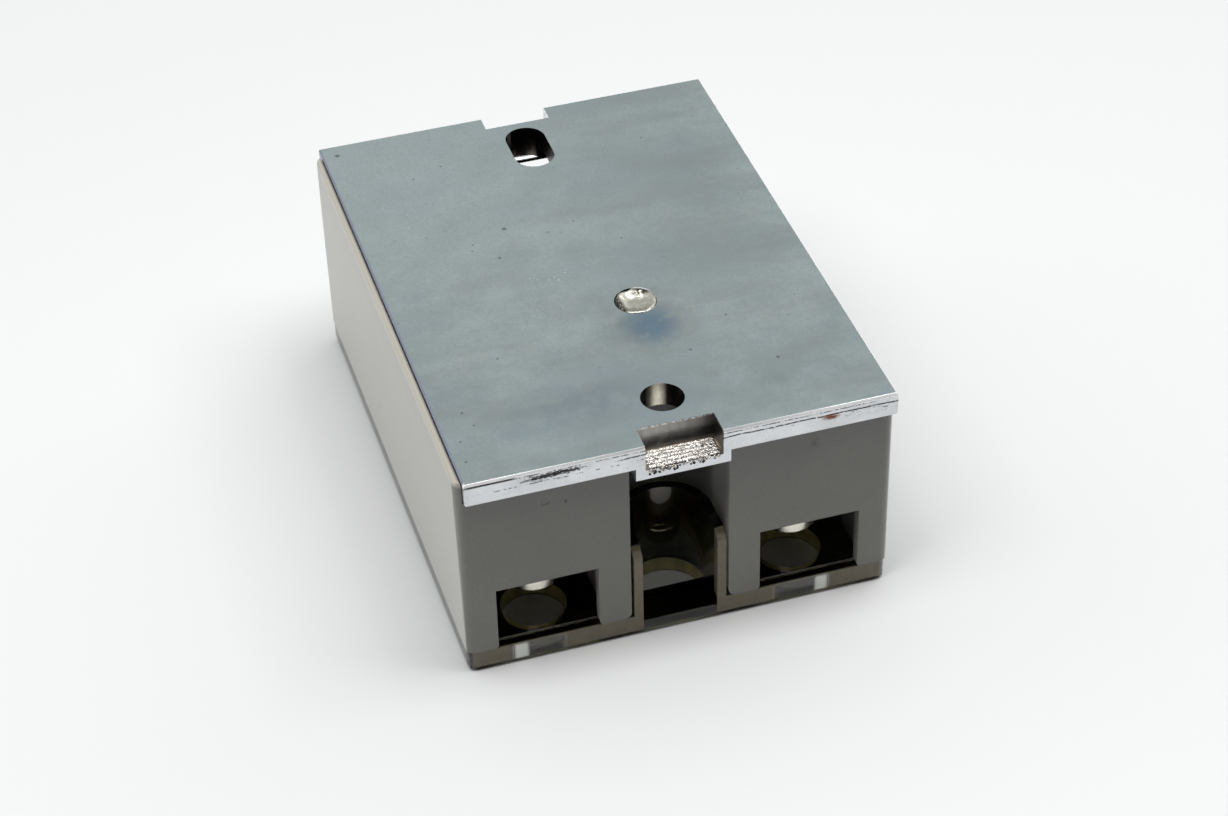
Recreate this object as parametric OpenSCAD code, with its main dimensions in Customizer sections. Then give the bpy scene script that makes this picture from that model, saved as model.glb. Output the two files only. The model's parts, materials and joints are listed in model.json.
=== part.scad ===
// Panel-mount solid state relay with a clear snap-on terminal cover.
// It stands upside down on its cover: the metal base plate is on top, at the highest Z.
// X runs along the terminal edges, Y runs from the input end (-Y) to the load end (+Y).
// The origin is on the resting surface, in the middle of the footprint. Millimetres.

/* [Base plate] */
// Width of the base plate
plate_w = 45; // [44:0.1:45.6]
// Length of the base plate
plate_l = 62; // [61.2:0.1:64]
// Thickness of the base plate
plate_t = 2.7; // [2.5:0.1:3.2]
// Distance from the mounting hole to the middle of the mounting slot
hole_pitch = 47.6; // [47.4:0.1:48]
// Diameter of the mounting hole and width of the slot
hole_d = 4.5; // [4.2:0.1:4.8]
// Length of the mounting slot, end to end
slot_l = 8; // [6:0.1:8.2]
// Width of the stamped notch at the input end
input_notch_w = 8.1; // [6:0.1:9]
// Width of the stamped notch at the load end
load_notch_w = 7.4; // [6:0.1:9]

/* [Housing] */
// Width of the housing at the base plate
body_w = 45.9; // [45.8:0.1:47]
// Length of the housing
body_l = 60; // [59.8:0.1:60.8]
// Height of the housing from its feet to the base plate
body_h = 19.9; // [19.9:0.1:22]
// Amount by which each long side leans in towards the feet
draft = 0.25; // [0:0.05:0.4]
// Radius of the upright corners
corner_r = 1.2; // [0.8:0.1:1.6]
// Width of each wire opening
opening_w = 10.8; // [10.6:0.1:11]
// Height of each wire opening above the feet
opening_h = 7.7; // [7.7:0.1:8]
// Width of the screw channel at each end
channel_w = 10.5; // [10.4:0.05:10.7]

/* [Cover] */
// Height of the cover below the feet of the housing
cover_h = 2.6; // [2.4:0.1:3]
// Thickness of the flat part of the cover
cover_t = 1.8; // [1.4:0.1:2]
// Thickness of the rim of the cover
rim_t = 1.4; // [1:0.1:1.6]
// Height of the curved walls that line the screw channels
tube_h = 11.5; // [8:0.1:12.5]
// Diameter of the screwdriver holes
driver_hole_d = 7; // [6.4:0.1:7.4]

/* [Terminals] */
// Distance from the middle of the relay to each terminal screw
terminal_x = 14; // [13.9:0.1:14.1]
// Diameter of the input screws
input_d = 3; // [2.9:0.1:3.5]
// Thread pitch of the input screws
input_pitch = 0.5; // [0.5:0.05:0.6]
// Diameter of the load screws
load_d = 4; // [3.5:0.1:4]
// Thread pitch of the load screws
load_pitch = 0.7; // [0.6:0.05:0.75]
// Diameter of the heads of the input screws
input_head_d = 6; // [5.2:0.1:6]
// Diameter of the heads of the load screws
load_head_d = 7.2; // [6.6:0.1:7.4]
// Height of the heads of the input screws
input_head_h = 2.4; // [2:0.1:2.6]
// Height of the heads of the load screws
load_head_h = 2.5; // [2.2:0.1:2.8]

/* [Hidden] */
$fn = 64;
eps = 0.01;

// Heights
feet_z = cover_h;
plate_z = feet_z + body_h;
top_z = plate_z + plate_t;
ceiling_z = feet_z + opening_h;

// The housing is a little shorter than the plate and sits towards its input end
body_y = -0.4;
front_y = body_y - body_l / 2;
back_y = body_y + body_l / 2;
foot_w = body_w - 2 * draft;

// The plate rests against the lip on the left side of the housing
lip_t = 0.75;
lip_h = 2.5;
plate_x = -body_w / 2 + lip_t + 0.05 + plate_w / 2;

// Mounting holes and notches
hole_y = -24;
slot_y = hole_y + hole_pitch;
input_notch_depth = 3;
load_notch_depth = 2.35;
tab_w = 9.9;
tab_x = plate_x - 0.1;
tab_l = 4.3;
tab_drop = 1.35;
notch_floor = 0.25;
rivet_x = plate_x + 2.4;
rivet_y = -7.7;
rivet_r = 2.15;

// Screw channels: a U in plan, open at the end face
channel_r = channel_w / 2;
input_channel_y = -25.6;
load_channel_y = 23.4;
tube_gap = 0.3;
tube_r = channel_r - tube_gap;
tube_t = 0.95;
web_l = 4.4;

// Terminals
input_y = -24.1;
load_y = 23.5;
pocket_l = 13;
pocket_w = 12.6;
end_wall = 1.3;
terminal_t = 1;
terminal_w = 9.4;
clamp_t = 0.9;
clamp_gap = 0.05;
input_clamp_w = 8.6;
load_clamp_w = 9.6;
clamp_z = ceiling_z - terminal_t - clamp_gap - clamp_t;
nut_w = 7;
nut_h = 3;
nut_gap = 0.1;
thread_room = 2;
thread_gap = 0.06;
screw_l = 6.6;
tail_w = 4.2;

// Inside
wall = 1.6;
cavity_floor = feet_z + 1.8;
cavity_y1 = front_y + pocket_l + wall;
cavity_y2 = back_y - pocket_l - wall;
upper_z = ceiling_z + nut_h + thread_room + 1.2;
board_t = 1.6;
board_z = ceiling_z + 3.1;
board_top = board_z + board_t;
ceramic_t = 0.7;
chip_t = 0.6;
strap_t = 0.7;
ceramic_y = 4.5;
chip_x = 6;
strap_z = plate_z - ceramic_t - chip_t - strap_t;
potting_h = 4.2;
flange_r = 3.2;
flange_t = 0.9;
post_w = 3;
board_gap = 2.4;
riser_gap = 0.3;
riser_top = board_top + 0.8;
cavity_w = 41.6;
led_x = 14.5;
led_y = 8;
pipe_r = 1.6;

function arc(r, a1, a2, n) = [for (i = [0:n]) let (a = a1 + (a2 - a1) * i / n) [r * cos(a), r * sin(a)]];
function moved(points, x, y) = [for (p = points) [p[0] + x, p[1] + y]];

// ---- shared shapes ----

// A box with round upright corners, from y1 to y2
module round_block(w, y1, y2, h, r) {
    translate([-w / 2 + r, y1, 0]) cube([w - 2 * r, y2 - y1, h]);
    translate([-w / 2, y1 + r, 0]) cube([w, y2 - y1 - 2 * r, h]);
    for (x = [-w / 2 + r, w / 2 - r], y = [y1 + r, y2 - r])
        translate([x, y, 0]) cylinder(r = r, h = h);
}

// Extrudes an outline drawn in X and Z along Y
module along_y(y1, y2) {
    translate([0, y2, 0]) rotate([90, 0, 0]) linear_extrude(y2 - y1) children();
}

// Extrudes an outline drawn in Y and Z along X
module along_x(x1, x2) {
    translate([x1, 0, 0]) rotate([90, 0, 90]) linear_extrude(x2 - x1) children();
}

// A U in plan: round at y, open towards the end face
module channel_shape(r, y, h, end) {
    length = abs(end - y);
    translate([0, y, 0]) cylinder(r = r, h = h);
    translate([-r, end < y ? y - length : y, 0]) cube([2 * r, length, h]);
}

// Slot with round ends along Y
module slot_shape(d, l, h) {
    for (y = [-1, 1] * (l - d) / 2) translate([0, y, 0]) cylinder(d = d, h = h);
    translate([-d / 2, -(l - d) / 2, 0]) cube([d, l - d, h]);
}

// Puts a terminal part at the left (-1) or right (1) terminal of the input end
module at_input(side) {
    translate([side * terminal_x, input_y, 0]) children();
}

// The same at the load end, turned to face the other way
module at_load(side) {
    translate([side * terminal_x, load_y, 0]) mirror([0, 1, 0]) children();
}

// ---- cover ----

module terminal_cover() {
    foot_r = 1;
    color("dimgray", 0.6) difference() {
        intersection() {
            union() {
                round_block(foot_w, front_y, back_y, cover_h, corner_r);
                channel_shape(tube_r, input_channel_y, tube_h, front_y);
                channel_shape(tube_r, load_channel_y, tube_h, back_y);
            }
            along_y(front_y, back_y) cover_profile(-foot_w / 2, foot_w / 2, foot_r);
            along_x(-foot_w / 2, foot_w / 2) cover_profile(front_y, back_y, foot_r);
        }
        // Inside of the tray, which leaves the rim and the curved walls
        translate([0, 0, cover_t]) difference() {
            round_block(foot_w - 2 * rim_t, front_y + rim_t, back_y - rim_t, cover_h, 0.6);
            translate([0, 0, -eps]) channel_shape(tube_r, input_channel_y, tube_h, front_y - 1);
            translate([0, 0, -eps]) channel_shape(tube_r, load_channel_y, tube_h, back_y + 1);
        }
        channel_cut(input_channel_y, front_y, 1);
        channel_cut(load_channel_y, back_y, -1);
        lead_in(front_y, 1);
        lead_in(back_y, -1);
        for (x = [-terminal_x, terminal_x], y = [input_y, load_y])
            translate([x, y, -1])
                cylinder(d1 = driver_hole_d - 0.6, d2 = driver_hole_d + 0.2, h = cover_t + 2);
    }
}

// Section of the whole cover, round along its bottom edges
module cover_profile(a, b, r) {
    polygon(concat(
        moved(arc(r, 180, 270, 8), a + r, r),
        moved(arc(r, 270, 360, 8), b - r, r),
        [[b, tube_h], [a, tube_h]]));
}

// Opens the curved walls to the end face, and the flat sheet only behind a web across their mouth
module channel_cut(y, end, side) {
    r = tube_r - tube_t;
    y1 = side > 0 ? end + web_l : end - web_l - 2 * r;
    translate([0, 0, cover_t]) channel_shape(r, y, tube_h, end - side);
    intersection() {
        translate([0, y, -1]) cylinder(r = r, h = cover_t + 1 + eps);
        translate([-r - 1, y1, -1]) cube([2 * r + 2, 2 * r, cover_t + 2]);
    }
}

// Slopes the top of the curved walls down towards their open end
module lead_in(end, side) {
    run = 1.2;
    low_z = tube_h - 1.1;
    along_x(-channel_r, channel_r) polygon([[end - side, low_z], [end, low_z], [end + side * run, tube_h],
        [end + side * run, tube_h + 1], [end - side, tube_h + 1]]);
}

// ---- base plate ----

module base_plate() {
    edge = 0.2;
    round_r = 0.45;
    color("lightsteelblue") difference() {
        union() {
            translate([plate_x, 0, plate_z]) intersection() {
                along_y(-plate_l / 2, plate_l / 2) plate_profile(plate_w, edge, round_r);
                along_x(-plate_w / 2, plate_w / 2) plate_profile(plate_l, edge, 0.15);
            }
            tab(-plate_l / 2, 1);
            tab(plate_l / 2, -1);
        }
        notch(input_notch_w, -plate_l / 2, input_notch_depth, 1);
        notch(load_notch_w, plate_l / 2, load_notch_depth, -1);
        translate([plate_x, hole_y, plate_z - 1]) cylinder(d = hole_d, h = plate_t + 2);
        translate([plate_x, slot_y, plate_z - 1]) slot_shape(hole_d, slot_l, plate_t + 2);
        translate([rivet_x, rivet_y, plate_z - 1]) cylinder(r = rivet_r + 0.1, h = plate_t + 2);
    }
}

// Section of the plate: a small bevel on top and round edges below
module plate_profile(w, edge, r) {
    polygon(concat(
        moved(arc(r, 180, 270, 6), -w / 2 + r, r),
        moved(arc(r, 270, 360, 6), w / 2 - r, r),
        [[w / 2, plate_t - edge], [w / 2 - edge, plate_t], [-w / 2 + edge, plate_t],
            [-w / 2, plate_t - edge]]));
}

// The tab that is pressed down under the notch and fits between the channel walls
module tab(y, side) {
    y1 = side > 0 ? y : y - tab_l;
    translate([tab_x - tab_w / 2, y1, plate_z - tab_drop]) cube([tab_w, tab_l, tab_drop + 0.5]);
}

// The notch, open at the end face of the plate
module notch(w, y, depth, side) {
    y1 = side > 0 ? y - 1 : y - depth;
    floor_z = plate_z - notch_floor;
    translate([plate_x - w / 2, y1, floor_z]) cube([w, depth + 1, plate_t + 2]);
}

module base_rivet() {
    head_z = top_z - 0.75;
    dish_r = 2.6;
    dish_rise = 1.7;
    color("silver") translate([rivet_x, rivet_y, 0]) difference() {
        union() {
            translate([0, 0, plate_z - flange_t]) cylinder(r = flange_r, h = flange_t);
            translate([0, 0, plate_z - eps]) cylinder(r = rivet_r, h = head_z - plate_z + eps);
        }
        translate([0, 0, head_z + dish_rise]) sphere(r = dish_r);
    }
}

// ---- housing ----

module housing() {
    color("lightgray") difference() {
        union() {
            intersection() {
                translate([0, 0, feet_z]) round_block(body_w, front_y, back_y, body_h, corner_r);
                along_y(front_y, back_y) body_profile();
            }
            intersection() {
                translate([0, 0, feet_z]) round_block(body_w, front_y, back_y, body_h + lip_h, corner_r);
                along_y(front_y, back_y) lip_profile();
            }
        }
        lower_cavity();
        upper_cavity();
        for (side = [-1, 1]) {
            at_input(side) terminal_pocket(input_y - front_y, input_d);
            at_load(side) terminal_pocket(back_y - load_y, load_d);
        }
        translate([0, 0, feet_z - 1]) channel_shape(channel_r, input_channel_y, body_h + 4, front_y - 1);
        translate([0, 0, feet_z - 1]) channel_shape(channel_r, load_channel_y, body_h + 4, back_y + 1);
        foot_corners(front_y - 1);
        foot_corners(back_y - wall);
        ejector_mark();
        // Hole for the light pipe
        translate([led_x, led_y, feet_z - 1]) cylinder(r = pipe_r + 0.05, h = 4);
    }
    color("lightgray") board_posts();
}

// Outline of the body across X: the long sides lean in towards the feet
module body_profile() {
    polygon([[-foot_w / 2, feet_z], [foot_w / 2, feet_z], [body_w / 2, plate_z], [-body_w / 2, plate_z]]);
}

// The lip that locates the base plate, with a round top edge
module lip_profile() {
    r = lip_t / 2;
    z = plate_z + lip_h - r;
    polygon(concat([[-body_w / 2, plate_z - 1], [-body_w / 2 + lip_t, plate_z - 1]],
        moved(arc(r, 0, 180, 10), -body_w / 2 + r, z)));
}

module lower_cavity() {
    translate([-cavity_w / 2, cavity_y1, cavity_floor])
        cube([cavity_w, cavity_y2 - cavity_y1, body_h]);
}

// The wide part of the inside, above the terminals, with walls left around both channels
module upper_cavity() {
    side_wall = 1.5;
    w = body_w - 2 * side_wall - 2 * draft;
    outer = channel_r + 1.4;
    translate([0, 0, upper_z]) difference() {
        round_block(w, front_y + wall, back_y - wall, body_h, 0.8);
        translate([0, 0, -1]) channel_shape(outer, input_channel_y, body_h + 2, front_y);
        translate([0, 0, -1]) channel_shape(outer, load_channel_y, body_h + 2, back_y);
    }
}

// The space around one terminal: wire opening, screw space, nut seat and slot for the tail
module terminal_pocket(end_distance, d) {
    y1 = -end_distance - 1;
    translate([-opening_w / 2, y1, feet_z - 1]) cube([opening_w, pocket_l + 1, opening_h + 1]);
    translate([-pocket_w / 2, end_wall - end_distance, feet_z - 1])
        cube([pocket_w, pocket_l - end_wall, opening_h + 1]);
    seat = nut_w + 2 * nut_gap;
    translate([-seat / 2, -seat / 2, ceiling_z - eps]) cube([seat, seat, nut_h + nut_gap + eps]);
    translate([0, 0, ceiling_z]) cylinder(d = d + 1, h = nut_h + thread_room);
    slot = tail_w + 2 * nut_gap;
    translate([-slot / 2, 0, ceiling_z - terminal_t - nut_gap])
        cube([slot, pocket_l - end_distance + wall + 1, terminal_t + nut_gap]);
}

// Rounds the lower corners of the feet on each end face
module foot_corners(y) {
    r = 0.7;
    inner_x = terminal_x - opening_w / 2;
    for (side = [-1, 1]) {
        corner_cut(side * channel_r, y, r, side);
        corner_cut(side * inner_x, y, 0.35, -side);
        corner_cut(side * (terminal_x + opening_w / 2), y, 0.35, side);
    }
}

// Removes what lies outside a quarter circle in the corner at x that opens towards side
module corner_cut(x, y, r, side) {
    translate([x, y, feet_z]) mirror([side < 0 ? 1 : 0, 0, 0]) along_y(0, wall + 1) difference() {
        translate([-0.5, -0.5]) square([r + 0.5, r + 0.5]);
        translate([r, r]) circle(r = r);
        translate([r - eps, -1]) square([1, 3]);
        translate([-1, r - eps]) square([3, 1]);
    }
}

// Shallow round mark left by an ejector pin on the input end
module ejector_mark() {
    mark_r = 0.6;
    depth = 0.05;
    translate([-terminal_x, front_y - 1, plate_z - 1.8]) rotate([-90, 0, 0])
        cylinder(r = mark_r, h = 1 + depth);
}

// Four posts in the corners of the inside that carry the circuit board
module board_posts() {
    h = board_z - cavity_floor + eps;
    for (x = [-cavity_w / 2, cavity_w / 2 - post_w], y = [cavity_y1, cavity_y2 - post_w])
        translate([x, y, cavity_floor - eps]) cube([post_w, post_w, h]);
}

// ---- terminals ----

// Screw whose seat is at z = 0: the head hangs below it and the thread goes up
module terminal_screw(d, pitch, head_d, head_h) {
    r = d / 2 - thread_gap;
    head_r = head_d / 2;
    dome = 0.35;
    grooves = floor((screw_l - 1.6) / pitch);
    thread = [for (i = [0:grooves - 1]) each [
        [r, 0.8 + i * pitch], [r, 0.8 + i * pitch + 0.15 * pitch],
        [r - 0.5 * pitch, 0.8 + (i + 0.5) * pitch]]];
    color("silver") difference() {
        rotate_extrude() polygon(concat(
            [[0, -head_h]],
            [for (a = [0:15:90]) [head_r - dome + dome * sin(a), -head_h + dome * (1 - cos(a))]],
            [[head_r, -0.15], [head_r - 0.15, 0], [r, 0]],
            thread,
            [[r, screw_l - 0.6], [r - 0.6, screw_l], [0, screw_l]]));
        cross_recess(0.55 * head_d, 0.62 * head_h, head_h);
    }
}

// Cross recess in the end of the head, tapered towards its bottom
module cross_recess(w, depth, head_h) {
    blade = 0.95;
    for (a = [0, 90]) rotate([0, 0, a]) translate([0, 0, -head_h]) along_y(-blade / 2, blade / 2)
        polygon([[-w / 2, -1], [w / 2, -1], [w / 2, 0], [w / 5, depth], [-w / 5, depth], [-w / 2, 0]]);
}

// Clamp plate under the head: bevelled corners, ribs on its gripping side and two stiff edges
module wire_clamp(d, w) {
    l = 8.2;
    bevel = 1.2;
    lip = 0.8;
    rib = 0.35;
    color("gainsboro") difference() {
        union() {
            linear_extrude(clamp_t) polygon([[-w / 2 + bevel, -l / 2], [w / 2 - bevel, -l / 2],
                [w / 2, -l / 2 + bevel], [w / 2, l / 2], [-w / 2, l / 2], [-w / 2, -l / 2 + bevel]]);
            for (x = [-w / 2, w / 2 - lip])
                translate([x, -l / 2 + bevel, -0.7]) cube([lip, l - bevel, 0.7 + eps]);
        }
        translate([0, 0, -1]) cylinder(r = d / 2 + 0.25, h = clamp_t + 2);
        for (y = [-3, -2.3, 2.3, 3])
            translate([0, y, clamp_t]) rotate([45, 0, 0]) cube([w + 1, rib, rib], center = true);
    }
}

// Fixed terminal: a plate under the ceiling of the pocket and a tail that turns up to the board
module terminal_plate(d, end_distance) {
    l = 8.6;
    tail_y = pocket_l - end_distance + wall + riser_gap + terminal_t;
    riser_h = riser_top - ceiling_z;
    color("khaki") difference() {
        union() {
            translate([-terminal_w / 2, -l / 2, ceiling_z - terminal_t]) cube([terminal_w, l, terminal_t]);
            translate([-tail_w / 2, 0, ceiling_z - terminal_t]) cube([tail_w, tail_y, terminal_t]);
            translate([-tail_w / 2, tail_y - terminal_t, ceiling_z - eps])
                cube([tail_w, terminal_t, riser_h + eps]);
        }
        translate([0, 0, ceiling_z - terminal_t - 1]) cylinder(d = d, h = terminal_t + 2);
    }
}

module terminal_nut(d) {
    translate([0, 0, ceiling_z]) difference() {
        translate([-nut_w / 2, -nut_w / 2, 0]) cube([nut_w, nut_w, nut_h]);
        translate([0, 0, -1]) cylinder(d = d, h = nut_h + 2);
    }
}

module terminal_nuts() {
    color("darkkhaki") for (side = [-1, 1]) {
        at_input(side) terminal_nut(input_d);
        at_load(side) terminal_nut(load_d);
    }
}

module input_clamp(side) at_input(side) translate([0, 0, clamp_z]) wire_clamp(input_d, input_clamp_w);
module load_clamp(side) at_load(side) translate([0, 0, clamp_z]) wire_clamp(load_d, load_clamp_w);
module input_screw(side) at_input(side) translate([0, 0, clamp_z - clamp_gap])
    terminal_screw(input_d, input_pitch, input_head_d, input_head_h);
module load_screw(side) at_load(side) translate([0, 0, clamp_z - clamp_gap])
    terminal_screw(load_d, load_pitch, load_head_d, load_head_h);
module input_terminal(side) at_input(side) terminal_plate(input_d, input_y - front_y);
module load_terminal(side) at_load(side) terminal_plate(load_d, back_y - load_y);

module input_terminal_left() input_terminal(-1);
module input_terminal_right() input_terminal(1);
module load_terminal_left() load_terminal(-1);
module load_terminal_right() load_terminal(1);
module input_clamp_left() input_clamp(-1);
module input_clamp_right() input_clamp(1);
module load_clamp_left() load_clamp(-1);
module load_clamp_right() load_clamp(1);
module input_screw_left() input_screw(-1);
module input_screw_right() input_screw(1);
module load_screw_left() load_screw(-1);
module load_screw_right() load_screw(1);

// ---- power stage under the base plate ----

module ceramic_substrate() {
    w = 28;
    l = 15;
    color("white") translate([-w / 2, ceramic_y - l / 2, plate_z - ceramic_t]) cube([w, l, ceramic_t]);
}

module thyristor_chips() {
    chip = 7;
    color("dimgray") for (x = [-chip_x, chip_x])
        translate([x - chip / 2, ceramic_y - chip / 2, plate_z - ceramic_t - chip_t])
            cube([chip, chip, chip_t]);
}

// Copper straps from each chip to the tail of a load terminal
module load_straps() {
    w = 4.2;
    pad = 5;
    riser_y = cavity_y2 - riser_gap - terminal_t;
    start_y = ceramic_y - w / 2;
    color("peru") for (side = [-1, 1]) mirror([side < 0 ? 1 : 0, 0, 0]) {
        translate([chip_x - pad / 2, start_y, strap_z])
            cube([terminal_x + w / 2 - chip_x + pad / 2, w, strap_t]);
        translate([terminal_x - w / 2, start_y, strap_z])
            cube([w, riser_y + terminal_t - start_y, strap_t]);
        translate([terminal_x - w / 2, riser_y, riser_top])
            cube([w, terminal_t, strap_z - riser_top + eps]);
    }
}

// Cast resin around the power stage
module potting_block() {
    w = cavity_w - 0.2;
    y1 = cavity_y1 + 0.4;
    y2 = cavity_y2 - 2.2;
    color("saddlebrown") difference() {
        translate([-w / 2, y1, plate_z - potting_h]) cube([w, y2 - y1, potting_h]);
        ceramic_substrate();
        thyristor_chips();
        load_straps();
        translate([rivet_x, rivet_y, plate_z - flange_t]) cylinder(r = flange_r + 0.05, h = 2);
    }
}

// ---- circuit board and what it carries ----

module circuit_board() {
    w = 41;
    l = cavity_y2 - cavity_y1 - 2 * board_gap;
    color("darkgreen") translate([-w / 2, cavity_y1 + board_gap, board_z]) cube([w, l, board_t]);
}

// A straight lead from z up to the board
module lead(x, y, z) {
    translate([x, y, z]) cylinder(d = 0.6, h = board_z - z);
}

module optocoupler() {
    z = board_z - 4.4;
    color("dimgray") {
        translate([1.5, -9, z]) cube([8.9, 6.4, 3.6]);
        for (x = [3.4, 5.95, 8.5], y = [-9, -2.6]) lead(x, y, z + 1.8);
    }
}

module snubber_capacitor() {
    color("goldenrod") {
        translate([-17, 1, board_z - 7.5]) cube([13, 6, 7]);
        for (x = [-15.5, -5.5]) lead(x, 4, board_z - 1);
    }
}

module snubber_resistor() {
    z = board_z - 2.4;
    color("burlywood") {
        translate([-2, 10, z]) rotate([0, 90, 0]) cylinder(d = 3, h = 8);
        for (x = [-2.6, 6]) {
            translate([x, 9.7, z - 0.3]) cube([0.8, 0.6, 0.6]);
            translate([x, 9.7, z]) cube([0.6, 0.6, board_z - z]);
        }
    }
}

module varistor() {
    r = 4.2;
    color("steelblue") {
        translate([-10.5, -4.5, board_z - r - 0.4]) rotate([90, 0, 0]) cylinder(r = r, h = 3.6);
        for (x = [-13, -8]) lead(x, -6.3, board_z - 2.4);
    }
}

module input_resistors() {
    z = board_z - 2;
    color("tan") for (y = [-1, 3]) {
        translate([8.5, y, z]) rotate([0, 90, 0]) cylinder(d = 2.2, h = 6);
        for (x = [8, 14.4]) {
            translate([x, y - 0.25, z - 0.25]) cube([0.6, 0.5, 0.5]);
            translate([x, y - 0.25, z]) cube([0.5, 0.5, board_z - z]);
        }
    }
}

module trigger_transistor() {
    z = board_z - 5.6;
    color("dimgray") {
        difference() {
            translate([15, -7, z]) cylinder(r = 2.4, h = 4.4);
            translate([12, -10.3, z - 1]) cube([6, 2, 8]);
        }
        for (x = [13.8, 15, 16.2]) lead(x, -7, z + 4);
    }
}

module indicator_led() {
    z = board_z - 6;
    color("red") {
        translate([led_x, led_y, z]) cylinder(r = 1.5, h = 4);
        translate([led_x, led_y, z]) sphere(r = 1.5);
        translate([led_x, led_y, z + 3.4]) cylinder(r = 1.8, h = 0.6);
        for (x = [-0.7, 0.7]) lead(led_x + x, led_y, z + 3.8);
    }
}

// Clear plug that carries the light of the LED through the housing
module light_pipe() {
    color("white", 0.6) translate([led_x, led_y, 0]) {
        translate([0, 0, feet_z]) cylinder(r = pipe_r, h = cavity_floor - feet_z);
        translate([0, 0, cavity_floor]) cylinder(r = pipe_r + 0.6, h = 0.8);
    }
}

// Short links from the tails of the input terminals to the board
module input_leads() {
    w = 1.2;
    l = 2.6;
    color("peru") for (x = [-terminal_x, terminal_x])
        translate([x - w / 2, cavity_y1 + riser_gap + terminal_t, board_top]) cube([w, l, 0.6]);
}

terminal_cover();
housing();
base_plate();
base_rivet();
ceramic_substrate();
thyristor_chips();
load_straps();
potting_block();
circuit_board();
optocoupler();
snubber_capacitor();
snubber_resistor();
varistor();
input_resistors();
trigger_transistor();
indicator_led();
light_pipe();
input_leads();
terminal_nuts();
input_terminal_left();
input_terminal_right();
load_terminal_left();
load_terminal_right();
input_clamp_left();
input_clamp_right();
load_clamp_left();
load_clamp_right();
input_screw_left();
input_screw_right();
load_screw_left();
load_screw_right();
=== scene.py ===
"""Looks of the solid state relay: camera, light, materials and the fine shapes the CAD leaves out.

The relay stands upside down on its smoky terminal cover, with its zinc-plated base plate on top.
Lengths are written in millimetres in the CAD's own frame and turned into metres with mm() or MM.
X runs along the terminal edges, -Y is the input end that faces the camera, +Z is up.
"""

import json
import math
import random

import bmesh
import bpy
from mathutils import Matrix, Vector, noise


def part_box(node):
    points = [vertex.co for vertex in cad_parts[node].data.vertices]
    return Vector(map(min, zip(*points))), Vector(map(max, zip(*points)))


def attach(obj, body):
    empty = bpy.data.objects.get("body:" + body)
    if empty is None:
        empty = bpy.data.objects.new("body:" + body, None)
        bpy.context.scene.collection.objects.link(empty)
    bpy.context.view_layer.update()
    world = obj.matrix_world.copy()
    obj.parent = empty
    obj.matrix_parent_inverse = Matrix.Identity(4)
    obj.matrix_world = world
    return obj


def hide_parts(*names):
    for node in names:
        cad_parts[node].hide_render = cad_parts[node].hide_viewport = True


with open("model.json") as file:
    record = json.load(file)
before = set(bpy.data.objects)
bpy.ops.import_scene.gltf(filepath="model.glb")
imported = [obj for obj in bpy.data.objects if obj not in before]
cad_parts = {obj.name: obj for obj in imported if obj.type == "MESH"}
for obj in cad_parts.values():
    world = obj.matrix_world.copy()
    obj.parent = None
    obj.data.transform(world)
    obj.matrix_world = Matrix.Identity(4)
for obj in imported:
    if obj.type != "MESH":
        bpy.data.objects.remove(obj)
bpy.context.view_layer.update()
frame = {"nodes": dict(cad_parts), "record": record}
NODES = frame["nodes"]
MM = 0.001


def mm(*values):
    return Vector([v * MM for v in values])


def box_mm(node):
    low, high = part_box(node)
    return Vector(low) / MM, Vector(high) / MM


PLATE_LOW, PLATE_HIGH = box_mm("base_plate")
BODY_LOW, BODY_HIGH = box_mm("housing")
COVER_LOW, COVER_HIGH = box_mm("terminal_cover")
RIVET_LOW, RIVET_HIGH = box_mm("base_rivet")
PLATE_TOP = PLATE_HIGH.z
PLATE_X = (PLATE_LOW.x + PLATE_HIGH.x) / 2
PLATE_T = 2.7
FRONT = PLATE_LOW.y

# The notch in the plate's front edge: the width and depth of the cut, and the height of its torn floor
NOTCH_W, NOTCH_DEPTH, NOTCH_FLOOR = 8.1, 3.0, PLATE_TOP - PLATE_T - 0.25

# The round mark that the moulding's ejector left on the input end of the housing
MARK_X, MARK_Z, MARK_R = -14.0, 20.7, 0.6

# The cover's flat sheet: its thickness, the middle of each screw channel, the radius of the cut-out in the
# sheet there, and the length of the web that closes each channel's mouth
SHEET_T = 1.8
CHANNEL_YS = (-25.6, 23.4)
CUT_OUT_R = 4.0
WEB_L = 4.4

# Polished windows in the cover's end faces: X of the outer edge, of the end of the painted light patch, of
# the inner edge
WINDOWS = [(-17.8, -16.3, -12.5), (16.1, 14.7, 10.3)]

# Dark pits in the plating of the plate's top: X, Y and radius
PITS = [(-6.7, 9.2, 0.35), (-8.6, 4.2, 0.25), (-20.5, 28.9, 0.4), (2.3, 21.2, 0.4), (-20.9, -27.5, 0.2),
        (-19.3, -20.0, 0.2), (5.5, -17.5, 0.2), (13.5, -21.5, 0.25)]


# ---------------------------------------------------------------- camera and light

LENS_MM = 86.71
AZIMUTH, DEPRESSION, ROLL = (math.radians(a) for a in (16.5013, 38.5968, -1.4657))
TARGET = mm(-0.4005, -9.4385, 13.0)
DISTANCE = 313.47 * MM

# The tent round the object: how bright it is behind, at the sides and on the camera's side
BACK_LEVEL, SIDE_LEVEL, FRONT_LEVEL = 0.60, 1.35, 0.01

# The softboxes above the object: where each one is, its width, height and power, in metres and watts.
# They all face one point inside the relay
SOFTBOX_AIM = mm(0, 0, 12)
SOFTBOXES = {
    "left_softbox": ((-0.30, -0.08, 0.62), 0.30, 0.36, 1.25),
    "right_softbox": ((0.30, -0.08, 0.62), 0.30, 0.36, 1.25),
    "top_softbox": ((0.0, -0.04, 0.66), 0.36, 0.26, 1.45),
}


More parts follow.
